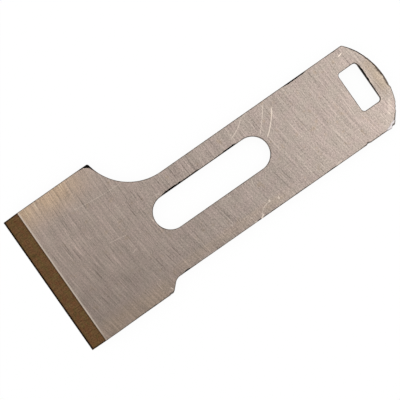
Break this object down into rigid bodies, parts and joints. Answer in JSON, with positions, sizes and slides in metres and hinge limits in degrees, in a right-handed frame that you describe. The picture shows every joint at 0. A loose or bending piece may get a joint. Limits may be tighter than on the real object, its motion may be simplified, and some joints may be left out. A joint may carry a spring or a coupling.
{
  "type": "plane iron",
  "caption": "Flat steel cutting iron for a rebate plane, with a wide bevelled head, an offset shank, a round-ended clamp slot and an adjuster slot.",
  "frame": {"origin": "under the middle of the iron's box, in the plane of its flat back", "axes": "+Y from the cutting edge to the top end, +X across the iron towards the side with the small notch, +Z out of the bevelled face"},
  "size_m": [0.038, 0.0969, 0.0024],
  "materials": {
    "iron": "surface-ground faces with fine lines across the iron, warm grey, with dark scale left on rolled edges and walls and a brown tone on the bevel"
  },
  "bodies": {
    "root": {"plane_iron": "iron"}
  },
  "joints": []
}
